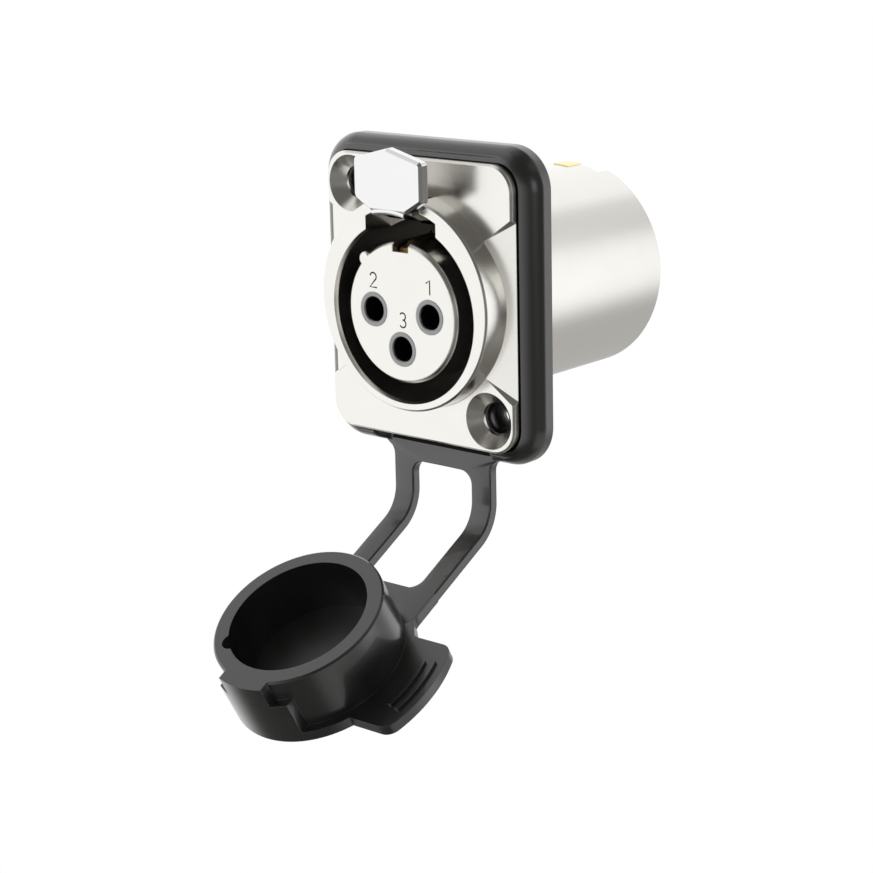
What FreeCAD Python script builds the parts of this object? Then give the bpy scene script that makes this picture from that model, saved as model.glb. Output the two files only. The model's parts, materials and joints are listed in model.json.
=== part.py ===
import FreeCAD
import Part
import math
import os

# Front of the socket looks along -Y, up is +Z, X runs to the right as seen from the front.
# Depths are drawn from the plane of the flange's four corner pads. On writing, every piece moves
# forward by the gasket's back, so that Y = 0 in the files is the panel's face.
# All sizes are in millimetres.

# Flange and collar
FLANGE_WIDTH = 26.0
FLANGE_HEIGHT = 31.0
FLANGE_THICKNESS = 2.9
FLANGE_CORNER_RADIUS = 2.9
FLANGE_EDGE = 0.22
SCREW_X = 9.5
SCREW_Z = 12.0
SCREW_HOLE_RADIUS = 1.8
COUNTERSINK_RADIUS = 3.12
COLLAR_HEIGHT = 2.7
COLLAR_EDGE = 0.2
WAIST_APEX_X = 9.3
WAIST_APEX_Z = 7.4
WAIST_EDGE_Z = 9.96
WAIST_FLOOR_Z = 9.5
WAIST_DEPTH = 0.78

# Round sizes, from the contact carrier outward
CARRIER_RADIUS = 7.7
MATING_GAP = 2.05
BORE_WALL = 2.08
BARREL_WALL = 0.93
BORE_RADIUS = CARRIER_RADIUS + MATING_GAP

# Barrel
BARREL_RADIUS = BORE_RADIUS + BORE_WALL
BARREL_END = 28.3
BARREL_INNER_RADIUS = BARREL_RADIUS - BARREL_WALL
COLLAR_BASE_RADIUS = BARREL_RADIUS + 0.02
COLLAR_FRONT_RADIUS = BARREL_RADIUS - 0.15
REAR_NOTCH_HALF = 4.5
REAR_NOTCH_LENGTH = 2.0

# Mating bore and carrier share an axis that sits a little below the flange centre
MATING_Z = -0.9
BORE_MOUTH_RADIUS = BORE_RADIUS + 0.22
BORE_MOUTH_DEPTH = 0.45
BORE_BOTTOM = 11.8
SHOULDER = 13.0
FIT_CLEARANCE = 0.05
CARRIER_FRONT = -2.82
CARRIER_EDGE = 0.35
INSULATOR_FLANGE_RADIUS = BARREL_INNER_RADIUS - FIT_CLEARANCE
INSULATOR_FLANGE_BACK = 15.2
RING_BACK = INSULATOR_FLANGE_BACK + 2.2
RING_SLOT_DEPTH = 0.8
RING_SLOT_HALF = 0.7
SEAL_THICKNESS = 0.9
INSULATOR_TAIL_RADIUS = BARREL_INNER_RADIUS - 1.9
INSULATOR_BACK = 20.7
KEYWAY_LEFT = -1.05
KEYWAY_RIGHT = 1.15
KEYWAY_FLOOR = 5.72
KEYWAY_BACK = 9.0
KEY_BUMP_EDGE = 0.15
KEY_SPRING_FRONT = -1.9
KEY_SPRING_RISE = 0.95
KEY_SPRING_THICKNESS = 0.3
KEY_SPRING_SIDE = 0.25
KEY_BUMP_X = -5.2
KEY_BUMP_Z = 4.5
KEY_BUMP_RADIUS = 0.8
KEY_BUMP_BACK = 10.0

# Earth clip
CLIP_X = 0.8
CLIP_HALF = 1.0
CLIP_FRONT = BARREL_END - 4.2
CLIP_THICKNESS = 0.3
CLIP_PROUD = 0.1

# Contacts
PIN_PITCH = 3.96
CONTACT_RADIUS = 1.86
CONTACT_FRONT = -2.84
CONTACT_HOLE_RADIUS = 1.33
CONTACT_HOLE_BACK = 9.2
CONTACT_STEP = 8.0
CONTACT_STEM_RADIUS = 1.5
CUP_RADIUS = 1.35
CUP_BACK = 25.6
CUP_HOLE_RADIUS = 0.95
CUP_HOLE_FRONT = 21.4

# Latch notch and push lever
NOTCH_HALF = 4.95
NOTCH_ROOF_RADIUS = 10.45
NOTCH_BACK = 1.4
SLOT_HALF = 2.6
SLOT_TOP = 11.4
CHANNEL_HALF = 3.0
CHANNEL_ROOF_RADIUS = BARREL_RADIUS - 0.63
CHANNEL_BACK = BORE_BOTTOM
ROOM_FLOOR = 7.2
PIVOT_Y = 10.5
PIVOT_Z = 9.7
EYE_RADIUS = 1.0
EYE_HALF = 1.2
PIN_RADIUS = 0.6
PIN_LEFT = -5.5
PIN_RIGHT = 5.0
PIVOT_CLEARANCE = 0.05
TAB_FRONT = -4.7
TAB_THICKNESS = 1.15
TAB_HALF = 4.78
TAB_TOP = 17.0
TAB_SHOULDER = 15.75
TAB_LOWER = 11.6
TAB_FOOT_HALF = 2.5
TAB_FOOT = 10.25
TAB_ARC_RADIUS = 10.4
TAB_EDGE = 0.3
TAB_CORNER = 0.55
NECK_HALF = 2.2
ARM_HALF = 2.2
ARM_BOTTOM = 9.0
ARM_TOP = 10.0
HOOK_FRONT = 1.2
HOOK_BACK = 3.4
HOOK_TIP = 7.9
HOOK_HALF = 1.7
SPRING_WIRE = 0.15
SPRING_COIL_RADIUS = 0.85
SPRING_FROM_X = EYE_HALF + 0.2
SPRING_TURNS = 2

# Panel gasket
GASKET_WIDTH = 30.1
GASKET_HEIGHT = 34.4
BEYOND = 2.0 * GASKET_HEIGHT
GASKET_CORNER_RADIUS = 4.6
GASKET_FRONT = 2.9
GASKET_BACK = 4.1
RIM_FRONT = 1.2
RIM_GAP = 0.35
RIM_LAND = 0.3
GASKET_BORE_RADIUS = BARREL_RADIUS + 1.0
GASKET_HOLE_RADIUS = SCREW_HOLE_RADIUS

# Strap
STRAP_CENTRE_X = 0.2
STRAP_HALF = 6.95
STRAP_WINDOW_HALF = 4.25
STRAP_THICKNESS = 1.2
HINGE_GAP = 0.3
STRAP_WINDOW_TOP = -19.1
STRAP_FLARE = 1.5
STRAP_CORNER = 1.5
STRAP_BEND_RADIUS = 4.6

# Sealing cap, described in its own frame: a across, b toward the strap, h down from the rim
CAP_Y = -20.39
CAP_Z = -30.12
CAP_TILT = 60.54
CAP_RADIUS = 9.62
CAP_BORE_RADIUS = 7.82
CAP_FLOOR = 6.5
CAP_PLATE_TOP = 6.65
CAP_PLATE_BACK = 7.85
CAP_PLATE_RADIUS = 10.6
CAP_EDGE = 0.2
LOBE_RADIUS = 10.6
LOBE_NARROW_HALF = 3.0
LOBE_WIDE_HALF = 4.85
LOBE_STEP = 2.5
CAP_GROOVE_A = -5.2
CAP_GROOVE_B = -5.4
CAP_GROOVE_RADIUS = 1.1
TAB_REACH = 15.08
TAB_WIDTH_HALF = 5.95
CAP_TAB_CORNER = 1.6
RIB_RADII = (TAB_REACH - 2.43, TAB_REACH - 1.23)
RIB_HALF_WIDTH = 0.25
RIB_HEIGHT = 0.3
RIB_HALF_ANGLE = 14.5
CAP_WEB_END = 12.0
CAP_HINGE_B = CAP_WEB_END + HINGE_GAP + STRAP_THICKNESS / 2.0
CAP_FILLET = 1.5
CAP_TAB_FILLET = 2.4

V = FreeCAD.Vector
AXIS_X = V(1, 0, 0)
AXIS_Y = V(0, 1, 0)


def cylinder(radius, front, back, x=0.0, z=0.0):
    """Round bar along Y between two depths."""
    return Part.makeCylinder(radius, back - front, V(x, front, z), AXIS_Y)


def cone(front_radius, back_radius, front, back, x=0.0, z=0.0):
    """Tapered bar along Y between two depths."""
    return Part.makeCone(front_radius, back_radius, back - front, V(x, front, z), AXIS_Y)


def box(x0, x1, y0, y1, z0, z1):
    """Box between two corners."""
    return Part.makeBox(x1 - x0, y1 - y0, z1 - z0, V(x0, y0, z0))


def rounded_wire(width, height, radius, y):
    """Closed outline of a rectangle with round corners, centred on the axis, at one depth."""
    a = width / 2.0
    b = height / 2.0
    r = radius
    k = r * (1.0 - math.sqrt(0.5))
    edges = []
    corners = ((1, 1), (-1, 1), (-1, -1), (1, -1))
    for sx, sz in corners:
        if sx * sz > 0:
            first = V(sx * a, y, sz * (b - r))
            last = V(sx * (a - r), y, sz * b)
        else:
            first = V(sx * (a - r), y, sz * b)
            last = V(sx * a, y, sz * (b - r))
        middle = V(sx * (a - k), y, sz * (b - k))
        edges.append((first, middle, last))
    parts = []
    for i, (first, middle, last) in enumerate(edges):
        parts.append(Part.Arc(first, middle, last).toShape())
        following = edges[(i + 1) % 4][0]
        parts.append(Part.makeLine(last, following))
    return Part.Wire(parts)


def rounded_plate(width, height, radius, front, back):
    """Plate with round corners between two depths."""
    face = Part.Face(rounded_wire(width, height, radius, front))
    return face.extrude(V(0, back - front, 0))


def plate_from_points(points, thickness):
    """Plate whose face is a closed polygon of vectors, pushed along a vector."""
    wire = Part.makePolygon(points + [points[0]])
    return Part.Face(wire).extrude(thickness)


def edges_at_depth(shape, y, tolerance=0.001):
    """Edges that lie wholly in one plane across Y."""
    found = []
    for edge in shape.Edges:
        bounds = edge.BoundBox
        if abs(bounds.YMin - y) < tolerance and abs(bounds.YMax - y) < tolerance:
            found.append(edge)
    return found


def polyhedron(points, faces):
    """Solid from corner points and lists of point numbers."""
    skins = []
    for face in faces:
        loop = [points[i] for i in face]
        skins.append(Part.Face(Part.makePolygon(loop + [loop[0]])))
    return Part.Solid(Part.Shell(skins))


def save(shape, name):
    """Write one node as a STEP file, with the panel's face at zero depth."""
    clean = shape.removeSplitter()
    solids = clean.Solids
    if len(solids) == 1:
        clean = solids[0]
    if not clean.isValid():
        print("not valid:", name)
    print(name, "solids", len(solids), "volume", round(clean.Volume, 2))
    clean.translate(V(0, -GASKET_BACK, 0))
    clean.exportStep(os.path.join("parts", name + ".step"))
    return clean


def waist_cutter(side):
    """Wedge that slopes the flange back between two corner pads."""
    edge_x = FLANGE_WIDTH / 2.0 + 0.4
    grow = (edge_x - WAIST_APEX_X) / (FLANGE_WIDTH / 2.0 - WAIST_APEX_X)
    top_z = WAIST_APEX_Z + (WAIST_EDGE_Z - WAIST_APEX_Z) * grow
    floor_z = WAIST_APEX_Z + (WAIST_FLOOR_Z - WAIST_APEX_Z) * grow
    depth = WAIST_DEPTH * grow
    points = [
        V(side * WAIST_APEX_X, 0, WAIST_APEX_Z),
        V(side * edge_x, 0, top_z),
        V(side * edge_x, depth, floor_z),
        V(side * WAIST_APEX_X, 0, -WAIST_APEX_Z),
        V(side * edge_x, 0, -top_z),
        V(side * edge_x, depth, -floor_z),
    ]
    faces = [(0, 1, 2), (3, 5, 4), (0, 3, 4, 1), (1, 4, 5, 2), (0, 2, 5, 3)]
    return polyhedron(points, faces)


def make_shell():
    """Flange, collar and barrel as one casting."""
    plate = rounded_plate(FLANGE_WIDTH, FLANGE_HEIGHT, FLANGE_CORNER_RADIUS, 0, FLANGE_THICKNESS)
    plate = plate.makeChamfer(FLANGE_EDGE, edges_at_depth(plate, 0.0))
    for side in (-1, 1):
        plate = plate.cut(waist_cutter(side))
    collar = cone(COLLAR_FRONT_RADIUS, COLLAR_BASE_RADIUS, -COLLAR_HEIGHT, FLANGE_THICKNESS - 0.5)
    collar = collar.makeChamfer(COLLAR_EDGE, edges_at_depth(collar, -COLLAR_HEIGHT))
    barrel = cylinder(BARREL_RADIUS, FLANGE_THICKNESS - 0.6, BARREL_END)
    barrel = barrel.makeChamfer(0.15, edges_at_depth(barrel, BARREL_END))
    shell = plate.fuse([collar, barrel])

    bore = cylinder(BORE_RADIUS, -COLLAR_HEIGHT - 1, SHOULDER + 1, 0, MATING_Z)
    mouth_back = -COLLAR_HEIGHT + BORE_MOUTH_DEPTH
    mouth = cone(BORE_MOUTH_RADIUS, BORE_RADIUS, -COLLAR_HEIGHT, mouth_back, 0, MATING_Z)
    rear = cylinder(BARREL_INNER_RADIUS, SHOULDER, BARREL_END + 1)
    cuts = [bore, mouth, rear]

    notch = box(-NOTCH_HALF, NOTCH_HALF, -COLLAR_HEIGHT - 1, NOTCH_BACK, 0, BEYOND)
    notch = notch.common(cylinder(NOTCH_ROOF_RADIUS, -COLLAR_HEIGHT - 1, NOTCH_BACK))
    slot = box(-SLOT_HALF, SLOT_HALF, -COLLAR_HEIGHT - 1, FLANGE_THICKNESS, ROOM_FLOOR, SLOT_TOP)
    open_slot = box(-SLOT_HALF, SLOT_HALF, -COLLAR_HEIGHT - 1, 0, ROOM_FLOOR, BEYOND)
    pin_start = V(-BARREL_RADIUS, PIVOT_Y, PIVOT_Z)
    pin_hole = Part.makeCylinder(PIN_RADIUS, PIN_RIGHT + BARREL_RADIUS, pin_start, AXIS_X)
    cuts += [notch, slot, open_slot, latch_room(), pin_hole]

    notch_front = BARREL_END - REAR_NOTCH_LENGTH
    cuts.append(box(-REAR_NOTCH_HALF, REAR_NOTCH_HALF, notch_front, BARREL_END + 1, 0, BEYOND))
    for sx, sz in ((-1, 1), (1, -1)):
        x = sx * SCREW_X
        z = sz * SCREW_Z
        cuts.append(cylinder(SCREW_HOLE_RADIUS, -1, FLANGE_THICKNESS + 1, x, z))
        depth = COUNTERSINK_RADIUS - SCREW_HOLE_RADIUS
        cuts.append(cone(COUNTERSINK_RADIUS, SCREW_HOLE_RADIUS, 0, depth, x, z))
    return shell.cut(cuts)


def contact_places():
    """Contact number, its X and Z."""
    return (
        (1, PIN_PITCH, MATING_Z),
        (2, -PIN_PITCH, MATING_Z),
        (3, 0.0, MATING_Z - PIN_PITCH),
    )


def make_carrier():
    """Contact carrier with keyway, key bump and contact holes."""
    front = cylinder(CARRIER_RADIUS, CARRIER_FRONT, BORE_BOTTOM, 0, MATING_Z)
    front = front.makeChamfer(CARRIER_EDGE, edges_at_depth(front, CARRIER_FRONT))
    bump = cylinder(KEY_BUMP_RADIUS, CARRIER_FRONT, KEY_BUMP_BACK, KEY_BUMP_X, KEY_BUMP_Z)
    bump = bump.makeChamfer(KEY_BUMP_EDGE, edges_at_depth(bump, CARRIER_FRONT))
    body = front.fuse(bump)
    before = CARRIER_FRONT - CONTACT_RADIUS
    cuts = [box(KEYWAY_LEFT, KEYWAY_RIGHT, before, KEYWAY_BACK, KEYWAY_FLOOR, CARRIER_RADIUS)]
    for number, x, z in contact_places():
        cuts.append(cylinder(CONTACT_RADIUS, before, CONTACT_STEP, x, z))
        cuts.append(cylinder(CONTACT_STEM_RADIUS, before, BORE_BOTTOM + CONTACT_STEM_RADIUS, x, z))
    return body.cut(cuts)


def make_contact(x, z):
    """Turned contact: socket in front, solder cup behind."""
    head = cylinder(CONTACT_RADIUS, CONTACT_FRONT, CONTACT_STEP, x, z)
    stem = cylinder(CONTACT_STEM_RADIUS, CONTACT_STEP - 0.5, INSULATOR_BACK, x, z)
    cup = cylinder(CUP_RADIUS, INSULATOR_BACK - 0.5, CUP_BACK, x, z)
    body = head.fuse([stem, cup])
    hole = cylinder(CONTACT_HOLE_RADIUS, CONTACT_FRONT - 1, CONTACT_HOLE_BACK, x, z)
    lead_in_back = CONTACT_FRONT + 0.12
    lead_in = cone(CONTACT_HOLE_RADIUS + 0.12, CONTACT_HOLE_RADIUS, CONTACT_FRONT, lead_in_back, x, z)
    cup_hole = cylinder(CUP_HOLE_RADIUS, CUP_HOLE_FRONT, CUP_BACK + 1, x, z)
    scoop = box(x - 2, x + 2, CUP_HOLE_FRONT + 1.6, CUP_BACK + 1, z + 0.25, z + 2)
    return body.cut([hole, lead_in, cup_hole, scoop])


def latch_room():
    """Space under the barrel's top that the lever's arm and eye lie in."""
    room = box(-CHANNEL_HALF, CHANNEL_HALF, FLANGE_THICKNESS - 0.1, CHANNEL_BACK, ROOM_FLOOR, SLOT_TOP)
    return room.common(cylinder(CHANNEL_ROOF_RADIUS, 0, CHANNEL_BACK))


def make_rear_insulator():
    """Body behind the carrier: boss that closes the bore, flange on the shoulder, tail and stem holes."""
    boss = cylinder(BORE_RADIUS - FIT_CLEARANCE, BORE_BOTTOM, INSULATOR_FLANGE_BACK, 0, MATING_Z)
    flange = cylinder(INSULATOR_FLANGE_RADIUS, SHOULDER, INSULATOR_FLANGE_BACK)
    tail = cylinder(INSULATOR_TAIL_RADIUS, SHOULDER, INSULATOR_BACK)
    cuts = []
    for number, x, z in contact_places():
        cuts.append(cylinder(CONTACT_STEM_RADIUS, CARRIER_FRONT, BARREL_END, x, z))
    return boss.fuse([flange, tail]).cut(cuts)


def make_retaining_ring():
    """Ring behind the insulator's flange, with two spanner slots."""
    outer = cylinder(INSULATOR_FLANGE_RADIUS, INSULATOR_FLANGE_BACK, RING_BACK)
    inner = cylinder(INSULATOR_TAIL_RADIUS + FIT_CLEARANCE, SHOULDER, BARREL_END)
    reach = BARREL_RADIUS
    slot = box(-reach, reach, RING_BACK - RING_SLOT_DEPTH, BARREL_END, -RING_SLOT_HALF, RING_SLOT_HALF)
    return outer.cut([inner, slot])


def make_face_seal():
    """Rubber washer on the bottom of the ring-shaped gap, left open under the latch."""
    outer = cylinder(BORE_RADIUS - FIT_CLEARANCE, BORE_BOTTOM - SEAL_THICKNESS, BORE_BOTTOM, 0, MATING_Z)
    inner = cylinder(CARRIER_RADIUS + FIT_CLEARANCE, 0, SHOULDER, 0, MATING_Z)
    room = box(-CHANNEL_HALF, CHANNEL_HALF, 0, SHOULDER, MATING_Z + CARRIER_RADIUS, BARREL_RADIUS)
    return outer.cut([inner, room])


def make_keyway_spring():
    """Brass strip lying in the keyway with a raised belly."""
    floor = KEYWAY_FLOOR
    belly = floor + KEY_SPRING_RISE
    span = KEYWAY_BACK - KEY_SPRING_FRONT
    path = [
        (KEY_SPRING_FRONT, floor),
        (KEY_SPRING_FRONT + 0.2 * span, floor + 0.8 * KEY_SPRING_RISE),
        (KEY_SPRING_FRONT + 0.45 * span, belly),
        (KEY_SPRING_FRONT + 0.7 * span, floor),
        (KEYWAY_BACK, floor),
    ]
    left = KEYWAY_LEFT + KEY_SPRING_SIDE
    lower = [V(left, y, z) for y, z in path]
    upper = [V(left, y, z + KEY_SPRING_THICKNESS) for y, z in reversed(path)]
    return plate_from_points(lower + upper, V(KEYWAY_RIGHT - KEY_SPRING_SIDE - left, 0, 0))


def make_earth_clip():
    """Brass clip folded over the front edge of the rear notch, curved like the barrel's wall."""
    edge = BARREL_END - REAR_NOTCH_LENGTH
    back = edge + CLIP_THICKNESS
    top = BARREL_RADIUS + CLIP_PROUD
    inside = BARREL_INNER_RADIUS - FIT_CLEARANCE
    hollow = cylinder(inside - CLIP_THICKNESS, 0, BARREL_END)
    outer_leaf = cylinder(top, CLIP_FRONT, back).cut(cylinder(top - CLIP_THICKNESS, 0, BARREL_END))
    fold = cylinder(top, edge, back).cut(hollow)
    inner_leaf = cylinder(inside, CLIP_FRONT + 1.0, back).cut(hollow)
    rings = outer_leaf.fuse([fold, inner_leaf])
    return rings.common(box(CLIP_X - CLIP_HALF, CLIP_X + CLIP_HALF, 0, BARREL_END, 0, BEYOND))


def clip_groove():
    """Shallow groove in the top of the barrel that the clip lies in."""
    groove = box(CLIP_X - CLIP_HALF, CLIP_X + CLIP_HALF, CLIP_FRONT, BARREL_END, 0, BEYOND)
    return groove.cut(cylinder(BARREL_RADIUS + CLIP_PROUD - CLIP_THICKNESS, 0, BARREL_END))


def make_lever():
    """Push lever: six-sided tab, sloping neck, arm with eye, and hook."""
    back = TAB_FRONT + TAB_THICKNESS
    outline = [
        (0.0, TAB_TOP), (TAB_HALF, TAB_SHOULDER), (TAB_HALF, TAB_LOWER), (TAB_FOOT_HALF, TAB_FOOT),
        (-TAB_FOOT_HALF, TAB_FOOT), (-TAB_HALF, TAB_LOWER), (-TAB_HALF, TAB_SHOULDER),
    ]
    tab = plate_from_points([V(x, TAB_FRONT, z) for x, z in outline], V(0, TAB_THICKNESS, 0))
    upright = [e for e in tab.Edges if abs(e.BoundBox.YLength - TAB_THICKNESS) < 0.001]
    corners = [e for e in upright if e.BoundBox.ZMin > TAB_LOWER - 0.1 and e.BoundBox.ZMin < TAB_TOP - 0.1]
    tab = tab.makeFillet(TAB_CORNER, corners)
    tab = tab.makeChamfer(TAB_EDGE, edges_at_depth(tab, TAB_FRONT))
    tab = tab.cut(cone(TAB_ARC_RADIUS, TAB_ARC_RADIUS - 0.5, TAB_FRONT - 0.01, back + 0.01))

    neck_points = [
        V(0, back - 0.35, ARM_TOP + 0.15), V(0, back - 0.35, 12.2), V(0, back + 0.5, 12.0),
        V(0, -1.2, ARM_TOP), V(0, 0.5, ARM_TOP), V(0, 0.5, ARM_BOTTOM), V(0, -1.9, ARM_BOTTOM + 0.15),
    ]
    neck = plate_from_points(neck_points, V(2 * NECK_HALF, 0, 0))
    neck.translate(V(-NECK_HALF, 0, 0))
    arm = box(-ARM_HALF, ARM_HALF, 0.0, 8.6, ARM_BOTTOM, ARM_TOP)
    link = box(-EYE_HALF, EYE_HALF, 8.4, PIVOT_Y, ARM_BOTTOM, ARM_TOP)
    eye = Part.makeCylinder(EYE_RADIUS, 2 * EYE_HALF, V(-EYE_HALF, PIVOT_Y, PIVOT_Z), AXIS_X)
    hook_points = [
        V(-HOOK_HALF, HOOK_FRONT, ARM_BOTTOM + 0.1), V(-HOOK_HALF, HOOK_BACK - 0.6, HOOK_TIP),
        V(-HOOK_HALF, HOOK_BACK, HOOK_TIP), V(-HOOK_HALF, HOOK_BACK, ARM_BOTTOM + 0.1),
    ]
    hook = plate_from_points(hook_points, V(2 * HOOK_HALF, 0, 0))
    body = tab.fuse([neck, arm, link, eye, hook])
    hole = Part.makeCylinder(PIN_RADIUS + PIVOT_CLEARANCE, 6, V(-3, PIVOT_Y, PIVOT_Z), AXIS_X)
    return body.cut(hole)


def make_lever_spring():
    """Close coils of the return spring around the pin, beside the eye."""
    pitch = 1.8 * SPRING_WIRE
    coils = []
    for turn in range(SPRING_TURNS):
        x = SPRING_FROM_X + SPRING_WIRE + turn * pitch
        corners = [
            V(x - SPRING_WIRE, PIVOT_Y, PIVOT_Z + SPRING_COIL_RADIUS),
            V(x, PIVOT_Y, PIVOT_Z + SPRING_COIL_RADIUS + SPRING_WIRE),
            V(x + SPRING_WIRE, PIVOT_Y, PIVOT_Z + SPRING_COIL_RADIUS),
            V(x, PIVOT_Y, PIVOT_Z + SPRING_COIL_RADIUS - SPRING_WIRE),
        ]
        section = Part.Face(Part.makePolygon(corners + [corners[0]]))
        coils.append(section.revolve(V(0, PIVOT_Y, PIVOT_Z), AXIS_X, 360))
    return coils[0].fuse(coils[1:])


def make_gasket():
    """Panel gasket: flat sheet under the flange and a sloping rim, left out above the strap."""
    crest_w = FLANGE_WIDTH + 2 * (RIM_GAP + RIM_LAND)
    crest_h = FLANGE_HEIGHT + 2 * (RIM_GAP + RIM_LAND)
    crest_r = FLANGE_CORNER_RADIUS + RIM_GAP + RIM_LAND
    crest = rounded_wire(crest_w, crest_h, crest_r, RIM_FRONT)
    foot = rounded_wire(GASKET_WIDTH, GASKET_HEIGHT, GASKET_CORNER_RADIUS, GASKET_FRONT)
    rim = Part.makeLoft([crest, foot], True, True)
    sheet = rounded_plate(GASKET_WIDTH, GASKET_HEIGHT, GASKET_CORNER_RADIUS, GASKET_FRONT, GASKET_BACK)
    body = rim.fuse(sheet)
    pocket = rounded_plate(FLANGE_WIDTH + 2 * RIM_GAP, FLANGE_HEIGHT + 2 * RIM_GAP,
                           FLANGE_CORNER_RADIUS + RIM_GAP, RIM_FRONT - 1, GASKET_FRONT)
    rim_gap = box(STRAP_CENTRE_X - STRAP_HALF - STRAP_FLARE, STRAP_CENTRE_X + STRAP_HALF + STRAP_FLARE,
                  RIM_FRONT - 1, GASKET_FRONT, -GASKET_HEIGHT, -FLANGE_HEIGHT / 2.0)
    cuts = [pocket, rim_gap, cylinder(GASKET_BORE_RADIUS, 0, GASKET_BACK + 1)]
    for sx, sz in ((-1, 1), (1, -1)):
        cuts.append(cylinder(GASKET_HOLE_RADIUS, 0, GASKET_BACK + 1, sx * SCREW_X, sz * SCREW_Z))
    return body.cut(cuts)


def cap_place(a, b, h):
    """World point of a point given in the cap's own frame."""
    t = math.radians(CAP_TILT)
    y = CAP_Y + b * math.sin(t) + h * math.cos(t)
    z = CAP_Z + b * math.cos(t) - h * math.sin(t)
    return V(a, y, z)


def to_world(shape):
    """Move a shape drawn with X across, Y toward the strap and -Z down from the rim into place."""
    moved = shape.copy()
    moved.rotate(V(0, 0, 0), AXIS_X, 90.0 - CAP_TILT)
    moved.translate(V(0, CAP_Y, CAP_Z))
    return moved


def disc(radius, h0, h1, a=0.0, b=0.0):
    """Round bar in the cap's frame between two depths below the rim."""
    return Part.makeCylinder(radius, h1 - h0, V(a, b, -h1), V(0, 0, 1))


def cap_box(a0, a1, b0, b1, h0, h1):
    """Box in the cap's frame."""
    return Part.makeBox(a1 - a0, b1 - b0, h1 - h0, V(a0, b0, -h1))


def plate_edge_fillet(edge_a):
    """Concave corner between the left edge of the web and the round plate."""
    r = CAP_FILLET
    centre_a = edge_a - r
    centre_b = math.sqrt((CAP_PLATE_RADIUS + r) ** 2 - centre_a ** 2)
    shrink = CAP_PLATE_RADIUS / (CAP_PLATE_RADIUS + r)
    touch_a = centre_a * shrink
    touch_b = centre_b * shrink
    outline = [(edge_a, centre_b), (touch_a, touch_b), (edge_a + 0.4, 6.6), (edge_a + 0.4, centre_b)]
    points = [V(a, b, -CAP_PLATE_BACK) for a, b in outline]
    block = plate_from_points(points, V(0, 0, CAP_PLATE_BACK - CAP_PLATE_TOP))
    return block.cut(disc(r, 0, BEYOND, centre_a, centre_b))


def tab_corner_fillet(edge_a):
    """Concave corner between the right edge of the web and the grip tab."""
    r = CAP_TAB_FILLET
    corner_b = TAB_WIDTH_HALF
    block = cap_box(edge_a - 0.4, edge_a + r, corner_b - 0.4, corner_b + r, CAP_PLATE_TOP, CAP_PLATE_BACK)
    return block.cut(disc(r, 0, BEYOND, edge_a + r, corner_b + r))


def make_cap():
    """Cup, plate, grip tab and the web that the strap legs grow from."""
    wall = disc(CAP_RADIUS, 0, CAP_PLATE_TOP + 0.5)
    rim = [e for e in wall.Edges if abs(e.BoundBox.ZMin) < 0.001 and abs(e.BoundBox.ZMax) < 0.001]
    wall = wall.makeChamfer(CAP_EDGE, rim)
    plate = disc(CAP_PLATE_RADIUS, CAP_PLATE_TOP, CAP_PLATE_BACK)
    lobe_ring = disc(LOBE_RADIUS, 0, CAP_PLATE_BACK)
    narrow = lobe_ring.common(cap_box(-LOBE_NARROW_HALF, LOBE_NARROW_HALF, -BEYOND, 0, 0, CAP_PLATE_BACK))
    wide = lobe_ring.common(cap_box(-LOBE_WIDE_HALF, LOBE_WIDE_HALF, -BEYOND, 0, LOBE_STEP, CAP_PLATE_BACK))

    tab = disc(TAB_REACH, CAP_PLATE_TOP, CAP_PLATE_BACK)
    tab = tab.common(cap_box(0, BEYOND, -TAB_WIDTH_HALF, TAB_WIDTH_HALF, 0, BEYOND))
    tall = 0.9 * (CAP_PLATE_BACK - CAP_PLATE_TOP)
    outer = [e for e in tab.Edges if e.BoundBox.XMin > 0.8 * TAB_REACH and e.BoundBox.ZLength > tall
             and e.BoundBox.XLength < 0.01]
    tab = tab.makeFillet(CAP_TAB_CORNER, outer)
    ribs = []
    for radius in RIB_RADII:
        ring = disc(radius + RIB_HALF_WIDTH, CAP_PLATE_TOP - RIB_HEIGHT, CAP_PLATE_TOP + 0.2)
        ring = ring.cut(disc(radius - RIB_HALF_WIDTH, 0, BEYOND))
        reach = radius * math.sin(math.radians(RIB_HALF_ANGLE))
        ribs.append(ring.common(cap_box(0, BEYOND, -reach, reach, 0, BEYOND)))

    web_left = STRAP_CENTRE_X - STRAP_HALF
    web_right = STRAP_CENTRE_X + STRAP_HALF
    web = cap_box(web_left, web_right, CAP_BORE_RADIUS, CAP_WEB_END, CAP_PLATE_TOP, CAP_PLATE_BACK)
    fillets = [plate_edge_fillet(web_left), tab_corner_fillet(web_right)]
    body = wall.fuse([plate, narrow, wide, tab, web] + ribs + fillets)
    hollow = disc(CAP_BORE_RADIUS, -1, CAP_FLOOR)
    groove = disc(CAP_GROOVE_RADIUS, -1, CAP_FLOOR, CAP_GROOVE_A, CAP_GROOVE_B)
    return to_world(body.cut([hollow, groove]))


def strap_side_profile():
    """Centre line of the strap in the YZ plane: start, bend start, bend middle, bend end, end."""
    y_line = (GASKET_FRONT + GASKET_BACK) / 2.0
    top = V(0, y_line, -GASKET_HEIGHT / 2.0 - HINGE_GAP - STRAP_THICKNESS / 2.0)
    mid = (CAP_PLATE_TOP + CAP_PLATE_BACK) / 2.0
    end = cap_place(0, CAP_HINGE_B, mid)
    along = cap_place(0, 1, mid) - cap_place(0, 0, mid)
    step = (y_line - end.y) / along.y
    corner = end + along * step
    turn = math.radians(CAP_TILT)
    reach = STRAP_BEND_RADIUS * math.tan(turn / 2.0)
    first = corner + V(0, 0, reach)
    last = corner - along * reach
    centre = first + V(0, -STRAP_BEND_RADIUS, 0)
    half = turn / 2.0
    middle = centre + V(0, STRAP_BEND_RADIUS * math.cos(half), -STRAP_BEND_RADIUS * math.sin(half))
    return top, first, middle, last, end, centre, along


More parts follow.
